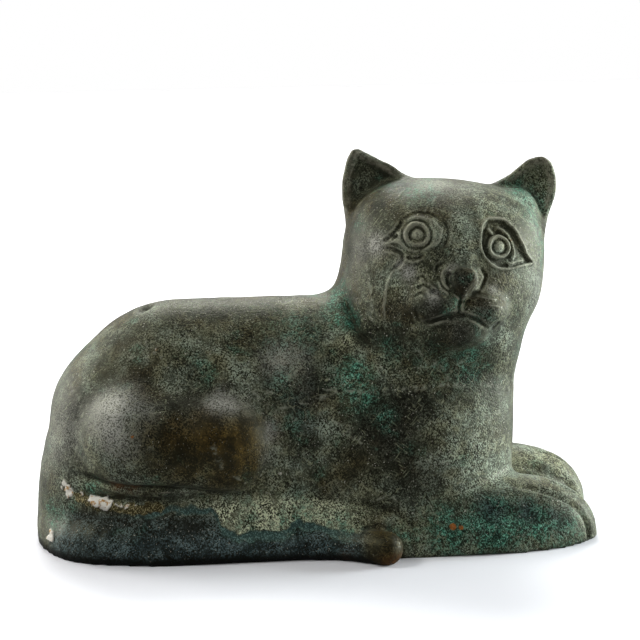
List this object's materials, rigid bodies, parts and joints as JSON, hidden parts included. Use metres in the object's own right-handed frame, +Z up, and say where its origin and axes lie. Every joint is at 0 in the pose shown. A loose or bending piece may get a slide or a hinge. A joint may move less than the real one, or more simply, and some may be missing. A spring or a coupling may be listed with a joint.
{
  "type": "bronze cat sculpture",
  "caption": "Small cast bronze cat lying with its head turned to its right, its tail wrapped round the hind foot and its forepaws stretched out.",
  "frame": {"origin": "on the flat underside, under the middle of the body's length and width", "axes": "+X from the rump to the forepaws, +Y to the cat's left, so the face looks along -Y, +Z up"},
  "size_m": [0.1378, 0.0597, 0.0921],
  "materials": {
    "bronze_patina": "dark green and brown bronze patina, worn smooth and half glossy"
  },
  "bodies": {
    "root": {"bronze_cat": "bronze_patina"}
  },
  "joints": []
}
